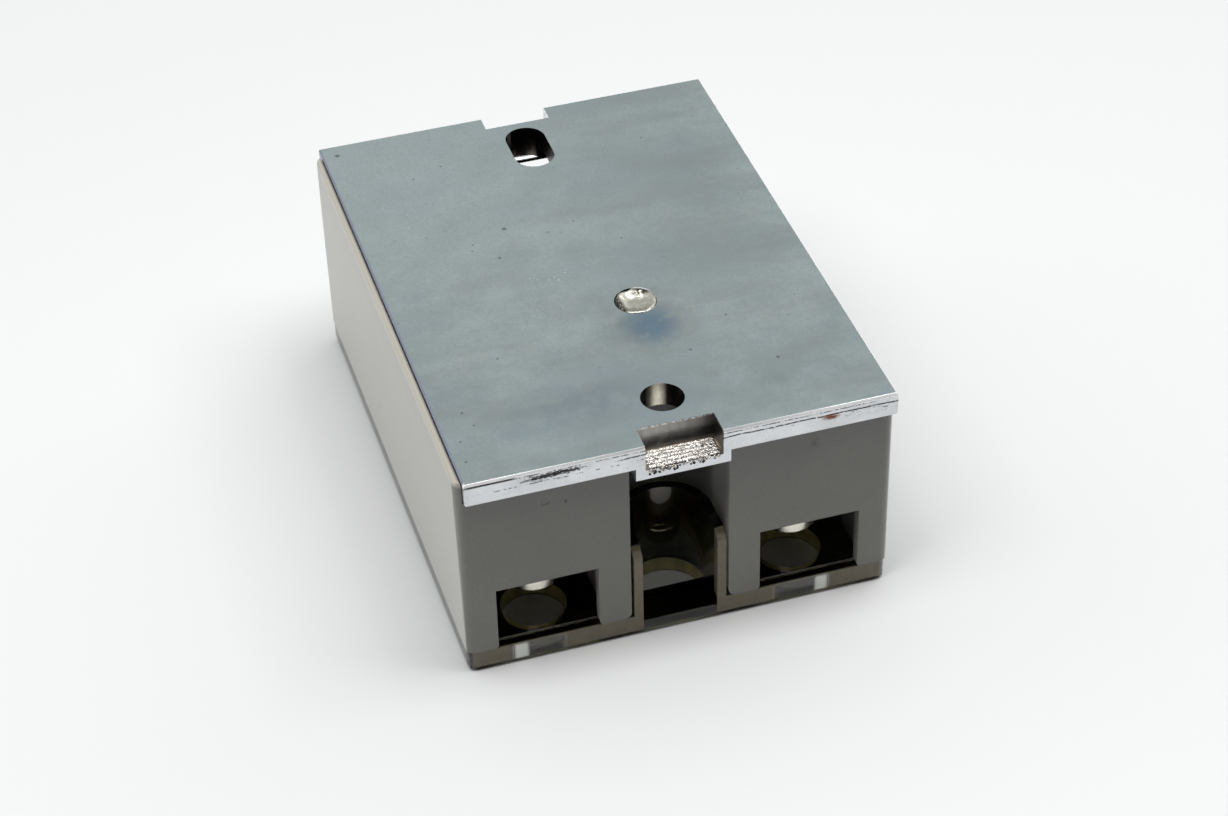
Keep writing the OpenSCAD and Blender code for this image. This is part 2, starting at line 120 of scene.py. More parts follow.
def make_camera():
    level = Vector((math.sin(AZIMUTH), math.cos(AZIMUTH), 0.0))
    forward = level * math.cos(DEPRESSION) + Vector((0, 0, -math.sin(DEPRESSION)))
    right = Vector((math.cos(AZIMUTH), -math.sin(AZIMUTH), 0.0))
    up = right.cross(forward)
    rolled_right = right * math.cos(ROLL) + up * math.sin(ROLL)
    rolled_up = up * math.cos(ROLL) - right * math.sin(ROLL)
    data = bpy.data.cameras.new("camera")
    data.lens = LENS_MM
    data.sensor_width = 36.0
    data.clip_start = 0.01
    cam = bpy.data.objects.new("camera", data)
    axes = Matrix((rolled_right, rolled_up, -forward)).transposed()
    cam.matrix_world = Matrix.Translation(TARGET - forward * DISTANCE) @ axes.to_4x4()
    bpy.context.collection.objects.link(cam)
    bpy.context.scene.camera = cam


def softbox(name, place, width, height, power):
    data = bpy.data.lights.new(name, "AREA")
    data.shape = "RECTANGLE"
    data.size = width
    data.size_y = height
    data.energy = power
    lamp = bpy.data.objects.new(name, data)
    lamp.location = place
    lamp.rotation_euler = (SOFTBOX_AIM - Vector(place)).to_track_quat("-Z", "Y").to_euler()
    bpy.context.collection.objects.link(lamp)


def ramp_node(tree, value, low, high, to_low, to_high):
    node = tree.nodes.new("ShaderNodeMapRange")
    node.interpolation_type = "SMOOTHSTEP"
    tree.links.new(value, node.inputs[0])
    for socket, number in zip(node.inputs[1:5], (low, high, to_low, to_high)):
        socket.default_value = number
    return node.outputs[0]


def make_light():
    """A tent that is bright at the sides, fair behind and dark in front, and three softboxes above."""
    world = bpy.data.worlds.new("studio")
    bpy.context.scene.world = world
    world.use_nodes = True
    tree = world.node_tree
    nodes, links = tree.nodes, tree.links
    split = nodes.new("ShaderNodeSeparateXYZ")
    links.new(nodes.new("ShaderNodeTexCoord").outputs["Generated"], split.inputs[0])
    sideways = nodes.new("ShaderNodeMath")
    sideways.operation = "ABSOLUTE"
    links.new(split.outputs[0], sideways.inputs[0])
    level = ramp_node(tree, sideways.outputs[0], 0.35, 0.85, BACK_LEVEL, SIDE_LEVEL)
    fade = ramp_node(tree, split.outputs[1], -0.15, 0.35, 0.0, 1.0)
    strength = nodes.new("ShaderNodeMath")
    strength.operation = "MULTIPLY_ADD"
    strength.inputs[2].default_value = FRONT_LEVEL
    links.new(level, strength.inputs[0])
    links.new(fade, strength.inputs[1])
    tent = nodes["Background"]
    tent.inputs["Color"].default_value = (0.98, 1.0, 1.0, 1)
    links.new(strength.outputs[0], tent.inputs["Strength"])
    backdrop = nodes.new("ShaderNodeBackground")
    backdrop.inputs["Color"].default_value = (0.90, 0.91, 0.92, 1)
    mix = nodes.new("ShaderNodeMixShader")
    links.new(nodes.new("ShaderNodeLightPath").outputs["Is Camera Ray"], mix.inputs[0])
    links.new(tent.outputs[0], mix.inputs[1])
    links.new(backdrop.outputs[0], mix.inputs[2])
    links.new(mix.outputs[0], nodes["World Output"].inputs["Surface"])
    for name, (place, width, height, power) in SOFTBOXES.items():
        softbox(name, place, width, height, power)


# ---------------------------------------------------------------- materials


class Tree:
    """A small helper that adds shader nodes and links them by name."""

    def __init__(self, name, **sockets):
        self.mat = bpy.data.materials.new(name)
        self.mat.use_nodes = True
        self.tree = self.mat.node_tree
        self.shader = self.tree.nodes["Principled BSDF"]
        self.coords = self.tree.nodes.new("ShaderNodeTexCoord").outputs["Object"]
        self.set(self.shader, sockets)

    def set(self, node, sockets):
        for key, value in sockets.items():
            key = key.replace("_", " ") if isinstance(key, str) else key
            socket = node.inputs[key]
            if isinstance(value, bpy.types.NodeSocket):
                self.tree.links.new(value, socket)
            else:
                socket.default_value = value

    def add(self, kind, sockets=None, out=0, **settings):
        node = self.tree.nodes.new(kind)
        for key, value in settings.items():
            setattr(node, key, value)
        self.set(node, sockets or {})
        return node.outputs[out]

    def place(self, scale=(1, 1, 1), turn=(0, 0, 0), shift=(0, 0, 0)):
        """Object coordinates, in metres, scaled, turned and shifted."""
        return self.add("ShaderNodeMapping",
                        {"Vector": self.coords, "Scale": scale, "Rotation": turn, "Location": shift})

    def noise(self, size_mm, detail=2.0, rough=0.5, stretch=(1, 1, 1), turn=(0, 0, 0), shift=(0, 0, 0)):
        where = self.place(stretch, turn, shift)
        sockets = {"Vector": where, "Scale": 1 / (size_mm * MM), "Detail": detail, "Roughness": rough}
        return self.add("ShaderNodeTexNoise", sockets)

    def cells(self, size_mm, shift=(0, 0, 0)):
        """Distance to the nearest of some scattered points, in units of their spacing."""
        sockets = {"Vector": self.place(shift=shift), "Scale": 1 / (size_mm * MM)}
        return self.add("ShaderNodeTexVoronoi", sockets)

    def ramp(self, value, low, high, to_low=0.0, to_high=1.0):
        return self.add("ShaderNodeMapRange", {0: value, 1: low, 2: high, 3: to_low, 4: to_high})

    def math(self, operation, a, b=0.0):
        return self.add("ShaderNodeMath", {0: a, 1: b}, operation=operation)

    def times(self, first, *others):
        for other in others:
            first = self.math("MULTIPLY", first, other)
        return first

    def most(self, first, *others):
        for other in others:
            first = self.math("MAXIMUM", first, other)
        return first

    def outside(self, mask):
        """1 where a mask is 0, and 0 where it is 1."""
        return self.math("SUBTRACT", 1.0, mask)

    def off(self, value, level):
        """How far a value is from a level, either way."""
        return self.math("ABSOLUTE", self.math("SUBTRACT", value, level))

    def mix(self, factor, a, b):
        return self.add("ShaderNodeMix", {0: factor, 6: a, 7: b}, out=2, data_type="RGBA")

    def axis(self, which):
        """One of the object coordinates: 0 is X, 1 is Y and 2 is Z."""
        return self.add("ShaderNodeSeparateXYZ", {0: self.coords}, out=which)

    def slope(self, which, low, high, to_low=0.0, to_high=1.0):
        """Goes from one value to another between two places along a coordinate, in millimetres."""
        return self.ramp(self.axis(which), low * MM, high * MM, to_low, to_high)

    def between(self, which, low, high, soft=0.1):
        """1 where a coordinate lies between two values in millimetres, with soft ends."""
        value = self.axis(which)
        rise = self.ramp(value, (low - soft) * MM, (low + soft) * MM)
        fall = self.ramp(value, (high - soft) * MM, (high + soft) * MM, 1.0, 0.0)
        return self.times(rise, fall)

    def spot(self, centre, inner, outer, stretch=(1, 1, 1)):
        """1 inside a ball round a point in millimetres, fading to 0 outside it."""
        where = self.add("ShaderNodeVectorMath", {0: self.coords, 1: mm(*centre)}, operation="SUBTRACT")
        where = self.add("ShaderNodeVectorMath", {0: where, 1: stretch}, operation="MULTIPLY")
        length = self.add("ShaderNodeVectorMath", {0: where}, out="Value", operation="LENGTH")
        return self.ramp(length, inner * MM, outer * MM, 1.0, 0.0)

    def bump(self, height, depth_mm):
        return self.add("ShaderNodeBump", {"Height": height, "Distance": depth_mm * MM, "Strength": 1.0})


def rgb(r, g, b):
    """A linear colour with full alpha."""
    return (r, g, b, 1.0)


def plate_top_material():
    """Dull blue-green zinc: clouds, warm smears, a fine speckle, pits and a blue stain by the rivet."""
    t = Tree("zinc_plate_top", Metallic=1.0)

    def patch(middle, radii, stretch, noise, ramp):
        """A soft patch on the plate, of an inner and an outer radius, broken up by a noise and its ramp."""
        return t.times(t.spot((*middle, PLATE_TOP), *radii, stretch), t.ramp(t.noise(*noise), *ramp))

    clouds = t.ramp(t.noise(19, 3, 0.55, (0.8, 1.3, 1), shift=(0.006, 0.002, 0)), 0.36, 0.62)
    color = t.mix(clouds, rgb(0.51, 0.585, 0.575), rgb(0.40, 0.475, 0.485))
    smear = t.noise(8, 5, 0.62, (0.5, 2.0, 1), turn=(0, 0, 0.15), shift=(3, 1, 0))
    color = t.mix(t.ramp(smear, 0.47, 0.70, 0, 0.7), color, rgb(0.385, 0.41, 0.395))
    cool = t.noise(6, 4, 0.6, (0.8, 1.6, 1), shift=(7, 2, 0))
    color = t.mix(t.ramp(cool, 0.52, 0.72, 0, 0.6), color, rgb(0.37, 0.455, 0.50))
    mottle = t.noise(1.3, 5, 0.7, shift=(0, 5, 0))
    color = t.mix(t.ramp(mottle, 0.35, 0.7, 0, 0.55), color, rgb(0.38, 0.435, 0.45))
    dark_corner = patch((13, -24), (1, 16), (1, 2.0, 1), (4, 4), (0.35, 0.65, 0, 0.5))
    color = t.mix(dark_corner, color, rgb(0.29, 0.335, 0.33))
    blue = patch((-7, -22.5), (1, 7.5), (0.6, 1.6, 1), (2.5, 4), (0.36, 0.6, 0, 0.9))
    color = t.mix(blue, color, rgb(0.29, 0.355, 0.40))
    band = patch((14, 3), (2, 12), (1.4, 0.6, 1), (5, 4), (0.35, 0.65, 0, 0.6))
    color = t.mix(band, color, rgb(0.34, 0.37, 0.365))
    far = t.times(t.spot((-17, 26, PLATE_TOP), 4, 34, (1, 0.8, 1)), 0.7)
    color = t.mix(far, color, rgb(0.575, 0.655, 0.665))
    halo = patch((2.9, -11.5), (1.8, 5.5), (0.9, 0.8, 1), (1.5, 4), (0.3, 0.65, 0.1, 0.75))
    color = t.mix(halo, color, rgb(0.33, 0.345, 0.33))
    stain = patch((2.9, -12.1), (1.2, 3.5), (0.95, 0.8, 1), (1.2, 3), (0.2, 0.45, 0, 1))
    color = t.mix(stain, color, rgb(0.19, 0.285, 0.375))
    fine = t.noise(0.22, 3, 0.8)
    color = t.mix(t.ramp(fine, 0.36, 0.72, 0, 0.5), color, rgb(0.30, 0.355, 0.365))
    specks = t.times(t.ramp(t.cells(2.1), 0.03, 0.08, 1, 0), t.ramp(t.noise(5, 2), 0.48, 0.6))
    pits = [t.spot((x, y, PLATE_TOP), 0.3 * r, r) for x, y, r in PITS]
    color = t.mix(t.times(t.most(specks, *pits), 0.8), color, rgb(0.10, 0.12, 0.12))
    glints = t.times(t.ramp(t.cells(0.8, (0.01, 0, 0)), 0.08, 0.18, 1, 0),
                     t.spot((-3.4, -0.8, PLATE_TOP), 0.5, 4.5, (0.7, 1.8, 1)))
    color = t.mix(glints, color, rgb(0.85, 0.85, 0.83))
    t.set(t.shader, {"Base Color": color})
    t.set(t.shader, {"Roughness": t.ramp(t.noise(5, 4, 0.6), 0.3, 0.7, 0.30, 0.42)})
    t.set(t.shader, {"Normal": t.bump(t.most(specks, fine), 0.015)})
    return t.mat


def plate_edge_material():
    """The sides of the plate: bright, with broken black scuffs, one rust spot at the input end, a painted
    highlight along the rolled top edge, painted shadow lines under it and painted shade on the left side.
    """
    t = Tree("zinc_plate_edge", Metallic=1.0)
    color = t.mix(t.ramp(t.noise(4, 4, 0.6), 0.3, 0.7), rgb(0.73, 0.745, 0.77), rgb(0.60, 0.615, 0.635))
    # Painted highlight: a near-white, less metallic band along the rolled top edge
    rolled_edge_highlight = t.slope(2, PLATE_TOP - 0.38, PLATE_TOP - 0.26)
    color = t.mix(rolled_edge_highlight, color, rgb(0.97, 0.97, 0.98))
    # Painted shade: the left side face of the plate darker and bluer
    left = t.times(t.slope(0, PLATE_LOW.x + 0.3, PLATE_LOW.x + 0.25), t.slope(1, FRONT + 0.3, FRONT + 0.6))
    color = t.mix(left, color, rgb(0.27, 0.295, 0.37))
    rolled_edge_highlight = t.times(rolled_edge_highlight, t.outside(left))

    # Two broken lines that wander a little in height, where the punch rubbed
    wander = t.ramp(t.noise(2.6, 2, 0.5, (1, 0.01, 0.01)), 0.3, 0.7, -0.07 * MM, 0.07 * MM)
    height = t.math("ADD", t.axis(2), wander)
    line = t.times(t.ramp(t.off(height, 24.30 * MM), 0.045 * MM, 0.09 * MM, 1, 0),
                   t.ramp(t.noise(0.5, 5, 0.8, (1, 1, 0.1)), 0.42, 0.46), t.slope(0, -7, -5.5))
    low_line = t.times(t.ramp(t.off(height, 23.75 * MM), 0.03 * MM, 0.07 * MM, 1, 0),
                       t.ramp(t.noise(0.7, 4, 0.8, (1, 1, 0.1), shift=(2, 0, 0)), 0.52, 0.56),
                       t.between(0, -19.5, -2, 2), 0.8)

    # A torn cluster left of the middle that rises to the right
    tear = t.noise(0.34, 5, 0.85, (0.45, 1, 1.6), shift=(0.7, 0, 0))
    rise = t.math("ADD", t.math("MULTIPLY", t.axis(0), 0.035), 24.84 * MM)
    spread = t.ramp(t.off(t.axis(2), rise), 0.05 * MM, 0.55 * MM, 1, 0)
    thick = t.times(t.between(0, -16.4, -10.0, 1.6), spread, 0.26)
    cluster = t.times(t.ramp(t.math("ADD", tear, thick), 0.655, 0.68), t.between(0, -17.2, -9.4, 0.3),
                      t.math("GREATER_THAN", spread, 0.03))

    # Painted shadow lines under the rolled edge, a torn patch at the right end, and scattered nicks
    ragged = t.noise(0.38, 5, 0.85, (0.8, 1, 0.3))
    under = t.times(t.between(0, -22.1, -17.0, 0.4), t.between(2, 24.72, 24.93, 0.04),
                    t.ramp(ragged, 0.33, 0.38))
    thin = t.times(t.between(0, -17.4, 20, 1), t.between(2, 24.74, 24.83, 0.03), t.ramp(ragged, 0.49, 0.53))
    right = t.times(t.between(0, 17.4, 22.6, 0.5), t.between(2, 23.3, 24.5, 0.2), t.ramp(tear, 0.60, 0.63))
    nicks = t.times(t.between(2, 22.7, 24.4, 0.1), t.ramp(t.noise(0.6, 4, 0.8, (0.6, 1, 1)), 0.68, 0.71))
    dark = t.times(t.most(line, low_line, cluster, under, thin, right, nicks),
                   t.math("LESS_THAN", t.axis(1), (FRONT + 0.6) * MM))
    color = t.mix(t.times(dark, 0.97), color, rgb(0.015, 0.013, 0.013))

    rust = t.times(t.spot((15.7, FRONT, 24.03), 0.25, 0.85, (0.75, 1, 1.9)),
                   t.ramp(t.noise(0.5, 4, 0.7), 0.36, 0.42))
    rusty = t.mix(t.ramp(t.noise(0.3, 3), 0.44, 0.60), rgb(0.36, 0.10, 0.02), rgb(0.05, 0.02, 0.015))
    color = t.mix(rust, color, rusty)
    grain = t.noise(0.5, 4, 0.7, (0.35, 1, 1))
    # Real scuffs and rust together with the painted shadow lines: less metallic and rougher
    scuffs_rust_and_shadow_lines = t.most(dark, rust)
    dull = t.most(t.times(scuffs_rust_and_shadow_lines, 0.8), t.times(rolled_edge_highlight, 0.7))
    rough = t.math("ADD", t.ramp(grain, 0.3, 0.7, 0.24, 0.36), t.times(scuffs_rust_and_shadow_lines, 0.4))
    t.set(t.shader, {"Base Color": color, "Metallic": t.outside(dull), "Roughness": rough})
    t.set(t.shader, {"Normal": t.bump(t.math("SUBTRACT", grain, t.times(dark, 1.5)), 0.02)})
    return t.mat


def bore_material():
    """The walls of the mounting holes: painted dark shade, with a painted reflection in a warm strip at the
    back of the round one.
    """
    t = Tree("punched_bore", Metallic=1.0)
    # Painted reflection: a warm bright strip down the back of the round hole; the rest is painted shade
    reflection_strip = t.times(t.between(0, PLATE_X - 0.85, PLATE_X + 0.7, 0.4), t.math("LESS_THAN", t.axis(1), 0.0))
    reflection_colour = t.mix(t.ramp(t.noise(0.8, 4, 0.7), 0.35, 0.65), rgb(0.96, 0.91, 0.74), rgb(0.72, 0.67, 0.54))
    shade_mottle = t.ramp(t.noise(0.6, 4, 0.7, (1, 1, 0.3)), 0.35, 0.65)
    dark = t.mix(shade_mottle, rgb(0.06, 0.05, 0.045), rgb(0.02, 0.018, 0.016))
    t.set(t.shader, {"Base Color": t.mix(reflection_strip, dark, reflection_colour)})
    t.set(t.shader, {"Roughness": t.ramp(t.noise(0.6, 3), 0.3, 0.7, 0.3, 0.42)})
    t.set(t.shader, {"Normal": t.bump(t.noise(0.5, 3, 0.6, (1, 1, 0.3)), 0.012)})
    return t.mat


def sheared_material():
    """The torn wall of the notch: smooth brownish grey, darker to the right, with a bright top edge."""
    t = Tree("sheared_zinc", Metallic=1.0)
    streaks = t.noise(1.1, 4, 0.6, (1.6, 1, 0.5))
    color = t.mix(t.ramp(streaks, 0.35, 0.75), rgb(0.40, 0.385, 0.36), rgb(0.27, 0.25, 0.23))
    color = t.mix(t.slope(0, PLATE_X - 1, PLATE_X + 4, 0, 0.85), color, rgb(0.07, 0.06, 0.06))
    edge = t.times(t.slope(2, PLATE_TOP - 0.24, PLATE_TOP - 0.12), t.ramp(t.noise(0.35, 3, 0.8), 0.46, 0.54))
    color = t.mix(t.times(edge, 0.8), color, rgb(0.9, 0.9, 0.9))
    foot = t.times(t.slope(2, NOTCH_FLOOR + 0.45, NOTCH_FLOOR + 0.3), 0.5)
    color = t.mix(foot, color, rgb(0.42, 0.34, 0.26))
    t.set(t.shader, {"Base Color": color, "Roughness": t.ramp(t.noise(0.6, 4), 0.3, 0.7, 0.32, 0.46)})
    t.set(t.shader, {"Normal": t.bump(t.noise(0.4, 4, 0.7), 0.015)})
    return t.mat


def rivet_material():
    """The peened rivet: uneven warm grey, with brown touches and painted shade of the gap at the left and
    above.
    """
    t = Tree("peened_rivet", Metallic=1.0)
    color = t.mix(t.ramp(t.noise(1.2, 4, 0.6), 0.35, 0.65), rgb(0.74, 0.725, 0.66), rgb(0.50, 0.49, 0.43))
    touches = t.ramp(t.noise(0.5, 3, 0.6, shift=(2, 0, 0)), 0.55, 0.7, 0, 0.5)
    color = t.mix(touches, color, rgb(0.45, 0.36, 0.24))
    # Painted shade: near-black where the gap round the rivet falls dark, at the left and above
    left = t.spot((0.8, -8.0, PLATE_TOP), 0.8, 1.35, (1.3, 0.65, 1))
    upper = t.spot((3.9, -6.2, PLATE_TOP), 0.5, 1.2, (0.7, 1.6, 1))
    gap_shade = t.times(t.most(left, upper), t.ramp(t.noise(0.4, 3, 0.7), 0.32, 0.46))
    color = t.mix(gap_shade, color, rgb(0.05, 0.045, 0.04))
    t.set(t.shader, {"Base Color": color, "Roughness": t.ramp(t.noise(0.7, 3), 0.3, 0.7, 0.24, 0.38)})
    t.set(t.shader, {"Normal": t.bump(t.noise(0.7, 4, 0.7), 0.03)})
    return t.mat


def burr_material():
    """The torn floor of the notch: bright and dark grains, browner where it meets the wall."""
    t = Tree("torn_bright_metal", Metallic=1.0)
    grains = t.ramp(t.noise(0.14, 3, 0.8, (0.5, 1.3, 1)), 0.47, 0.55)
    color = t.mix(grains, rgb(0.95, 0.92, 0.88), rgb(0.16, 0.14, 0.12))
    back = t.slope(1, FRONT + NOTCH_DEPTH - 0.35, FRONT + NOTCH_DEPTH - 0.2)
    color = t.mix(t.times(back, 0.7), color, rgb(0.62, 0.45, 0.30))
    t.set(t.shader, {"Base Color": color, "Roughness": t.ramp(t.noise(0.3, 2), 0.3, 0.7, 0.14, 0.32)})
    t.set(t.shader, {"Normal": t.bump(t.noise(0.1, 3, 0.8), 0.05)})
    return t.mat


def plastic_material():
    """Fine-textured warm grey plastic: a painted highlight on the lip, a ring at the ejector mark, specks,
    and painted shade inside and under the plate.
    """
    t = Tree("grey_plastic", Roughness=0.36, Sheen_Weight=0.9, Sheen_Roughness=0.32)
    t.set(t.shader, {"Specular IOR Level": 0.6, "Sheen Tint": rgb(1.0, 0.985, 0.95)})
    color = t.mix(t.ramp(t.noise(9, 3), 0.3, 0.7), rgb(0.155, 0.152, 0.136), rgb(0.182, 0.179, 0.160))
    color = t.mix(t.ramp(t.noise(0.25, 3, 0.75), 0.4, 0.75, 0, 0.4), color, rgb(0.105, 0.105, 0.096))
    # Painted highlight: a paler cream band along the top of the lip on the left side
    lip_highlight = t.times(t.slope(2, BODY_HIGH.z - 0.7, BODY_HIGH.z - 0.25),
                  t.slope(0, BODY_LOW.x + 1, BODY_LOW.x + 0.8))
    color = t.mix(lip_highlight, color, rgb(0.47, 0.44, 0.375))
    centre = (MARK_X, BODY_LOW.y, MARK_Z)
    ring = t.times(t.spot(centre, MARK_R + 0.02, MARK_R + 0.12),
                   t.outside(t.spot(centre, MARK_R - 0.12, MARK_R - 0.02)))
    color = t.mix(t.times(ring, 0.4), color, rgb(0.32, 0.32, 0.30))

    scar = t.times(t.spot((BODY_LOW.x + 0.1, 4.6, 8.4), 0.3, 0.95, (1, 1, 2.0)),
                   t.ramp(t.noise(0.6, 3), 0.36, 0.48))
    dot = t.spot((-11.8, BODY_LOW.y, 20.1), 0.08, 0.22)
    smudge = t.times(t.spot((14.3, BODY_LOW.y, 20.6), 0.1, 0.9), t.ramp(t.noise(0.7, 3), 0.45, 0.6, 0, 0.5))
    specks = t.times(t.ramp(t.cells(3.1), 0.02, 0.04, 1, 0), t.ramp(t.noise(6, 2), 0.55, 0.6), 0.7)
    color = t.mix(t.most(scar, dot, smudge, specks), color, rgb(0.03, 0.035, 0.03))

    # Painted shade: the surfaces inside the housing made near black
    painted_shade_colour = rgb(0.03, 0.029, 0.026)
    inside = t.times(t.between(1, BODY_LOW.y + 0.6, BODY_HIGH.y - 0.6, 0.4),
                     t.between(0, BODY_LOW.x + 0.6, BODY_HIGH.x - 0.6, 0.2))
    color = t.mix(t.times(inside, 0.85), color, painted_shade_colour)
    # Painted shade: the front face darker towards the plate above it
    shade_under_plate = t.times(t.slope(1, BODY_LOW.y + 0.3, BODY_LOW.y + 0.1), t.slope(2, 10, BODY_HIGH.z, 0, 0.3))
    color = t.mix(shade_under_plate, color, painted_shade_colour)
    t.set(t.shader, {"Base Color": color})
    t.set(t.shader, {"Normal": t.bump(t.noise(0.22, 3, 0.6), 0.01)})
    return t.mat


def cover_material():
    """Smoky clear plastic: frosted end faces, two polished windows in each with a painted light patch, cut
    edges inside painted bright olive for the light glowing through them, and a painted highlight along the
    tray's rim.
    """
    t = Tree("smoky_cover", IOR=1.55)

    def near_ends(near, far):
        """1 at both ends of the cover, fading to 0 between two distances from the end."""
        return t.most(t.slope(1, COVER_LOW.y + near, COVER_LOW.y + far, 1, 0),
                      t.slope(1, COVER_HIGH.y - far, COVER_HIGH.y - near, 0, 1))

    # Frost on the end faces and the posts, apart from the windows and the mouths of the channels
    ends = near_ends(0.12, 0.2)
    posts = t.times(t.slope(2, 2.7, 2.8), t.outside(t.between(0, -3.9, 3.9, 0.05)), near_ends(0.9, 1.1))
    mouth = t.times(t.between(0, -CUT_OUT_R, CUT_OUT_R, 0.05),
                    t.math("LESS_THAN", t.axis(2), (SHEET_T + 0.1) * MM))
    clear = [t.between(0, min(outer, inner), max(outer, inner), 0.35) for outer, _, inner in WINDOWS]
    bright = [t.between(0, min(outer, turn), max(outer, turn), 0.25) for outer, turn, _ in WINDOWS]
    face = t.between(2, 0.35, 2.5, 0.15)
    window = t.times(t.most(*clear), face)
    frost = t.times(t.most(ends, posts), t.outside(window), t.outside(mouth))
    # Painted light: a whitish, less clear patch at the outer end of each window
    window_light_patch = t.times(ends, t.most(*bright), face)
    streaks = t.ramp(t.noise(2.4, 3, 0.5, (1, 1, 0.3)), 0.3, 0.6, 0.35, 1)
    haze = t.times(ends, window, t.slope(2, 1.15, 1.7), streaks)

    # Cut edges, frosted and painted bright olive for the light glowing through them: the cut-outs in the
    # channels and the screwdriver holes; and a painted highlight along the tray's rim
    inner = t.times(t.between(0, COVER_LOW.x + 1.2, COVER_HIGH.x - 1.2),
                    t.between(1, COVER_LOW.y + 1.7, COVER_HIGH.y - 1.7, 0.2))
    cut_outs = [t.spot((0, y, 1.0), CUT_OUT_R + 0.08, CUT_OUT_R + 0.2, (1, 1, 0)) for y in CHANNEL_YS]
    behind_web = t.between(1, COVER_LOW.y + WEB_L + 0.05, COVER_HIGH.y - WEB_L - 0.05, 0.04)
    walls = t.times(t.most(*cut_outs), t.between(2, 0.1, SHEET_T - 0.03, 0.04), behind_web)
    bores = t.times(t.outside(t.between(0, -9, 9, 0.1)), t.between(2, 0.12, SHEET_T - 0.08, 0.04))
    cut_edge_glow = t.times(inner, t.most(walls, bores))
    rim_highlight = t.times(t.between(2, 2.5, 2.7, 0.02), t.outside(t.between(0, -4.9, 4.9, 0.1)),
                       t.most(t.between(1, COVER_LOW.y + 1.22, COVER_LOW.y + 1.45, 0.04),
                              t.between(1, COVER_HIGH.y - 1.45, COVER_HIGH.y - 1.22, 0.04)))

    grain = t.noise(0.7, 4, 0.6)
    brown = t.mix(t.ramp(grain, 0.3, 0.7), rgb(0.145, 0.120, 0.074), rgb(0.195, 0.160, 0.100))
    color = t.mix(frost, rgb(0.46, 0.43, 0.30), brown)
    color = t.mix(haze, color, rgb(0.34, 0.34, 0.37))
    color = t.mix(window_light_patch, color, rgb(0.95, 0.97, 0.90))
    uneven = t.ramp(t.noise(2.2, 2, 0.5, (1, 1, 0.2)), 0.4, 0.6)
    color = t.mix(cut_edge_glow, color, t.mix(uneven, rgb(0.92, 0.83, 0.42), rgb(0.68, 0.61, 0.34)))
    color = t.mix(rim_highlight, color, rgb(0.30, 0.31, 0.33))
    hazy = t.most(t.times(frost, 0.85), t.times(window_light_patch, 0.9), t.times(haze, 0.35), t.times(cut_edge_glow, 0.85),
                  t.times(rim_highlight, 0.4))
    t.set(t.shader, {"Base Color": color, "Transmission Weight": t.outside(hazy)})
    t.set(t.shader, {"Roughness": t.ramp(hazy, 0, 0.8, 0.05, 0.42)})
    t.set(t.shader, {"Normal": t.bump(t.times(grain, hazy), 0.01)})
    return t.mat


def metal(name, color, rough):
    """Bright metal, a little uneven in colour and gloss."""
    t = Tree(name, Metallic=1.0)
    dull = rgb(*[c * 0.82 for c in color])
    t.set(t.shader, {"Base Color": t.mix(t.ramp(t.noise(2.5, 4, 0.6), 0.3, 0.7), rgb(*color), dull)})
    t.set(t.shader, {"Roughness": t.ramp(t.noise(1.2, 3), 0.3, 0.7, rough * 0.75, rough * 1.25)})
    t.set(t.shader, {"Normal": t.bump(t.noise(0.4, 3), 0.006)})
    return t.mat


def solid(name, color, rough):
    """Plastic, lacquer or ceramic, a little uneven in colour and gloss."""
    t = Tree(name)
    dull = rgb(*[c * 0.78 for c in color])
    t.set(t.shader, {"Base Color": t.mix(t.ramp(t.noise(1.5, 4, 0.6), 0.3, 0.7), rgb(*color), dull)})
    t.set(t.shader, {"Roughness": t.ramp(t.noise(0.8, 3), 0.3, 0.7, rough * 0.8, rough * 1.2)})
    t.set(t.shader, {"Normal": t.bump(t.noise(0.3, 3), 0.01)})
    return t.mat


def floor_material():
    t = Tree("white_table", Roughness=0.75)
    t.set(t.shader, {"Base Color": rgb(0.86, 0.865, 0.865), "Specular IOR Level": 0.2})
    return t.mat


# ---------------------------------------------------------------- shapes


def link(name, bm, materials, body=None, replaces=None, smooth_deg=35):
    """Turns a bmesh into an object, parents it to the empty of the body it rides on, and hides the CAD node
    it stands for.
    """
    mesh = bpy.data.meshes.new(name)
    bm.to_mesh(mesh)
    bm.free()
    mesh.shade_smooth()
    mesh.set_sharp_from_angle(angle=math.radians(smooth_deg))
    for material in materials:
        mesh.materials.append(material)
    obj = bpy.data.objects.new(name, mesh)
    bpy.context.collection.objects.link(obj)
    if body:
        weighted = obj.modifiers.new("weighted_normals", "WEIGHTED_NORMAL")
        weighted.keep_sharp = True
        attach(obj, body)
    if replaces:
        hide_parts(replaces)
    return obj


def clean_copy(node):
    """A bmesh of a CAD node with its flat faces merged, ready for rounding."""
    bm = bmesh.new()
    bm.from_mesh(NODES[node].data)
    bmesh.ops.remove_doubles(bm, verts=bm.verts, dist=1e-6)
    bmesh.ops.dissolve_limit(bm, angle_limit=math.radians(1), verts=bm.verts, edges=bm.edges)
    for face in bm.faces:
        face.material_index = 0
    return bm


def round_edges(bm, width, chosen, sharper_deg):
    """Rounds the outward edges that are sharper than an angle and that chosen(middle, edge) picks."""
    edges = []
    for edge in bm.edges:
        if len(edge.link_faces) != 2 or edge.calc_face_angle_signed() < math.radians(sharper_deg):
            continue
        if chosen((edge.verts[0].co + edge.verts[1].co) / (2 * MM), edge):
            edges.append(edge)
    bmesh.ops.bevel(bm, geom=edges, offset=width * MM, segments=3, profile=0.5, affect="EDGES",
                    clamp_overlap=True, loop_slide=True)


def by_the_bores(p):
    """True near the mounting hole and the slot, and False along the plate's edges."""
    return abs(p.x - PLATE_X) < 2.6 and FRONT + 4 < p.y < PLATE_HIGH.y - 3


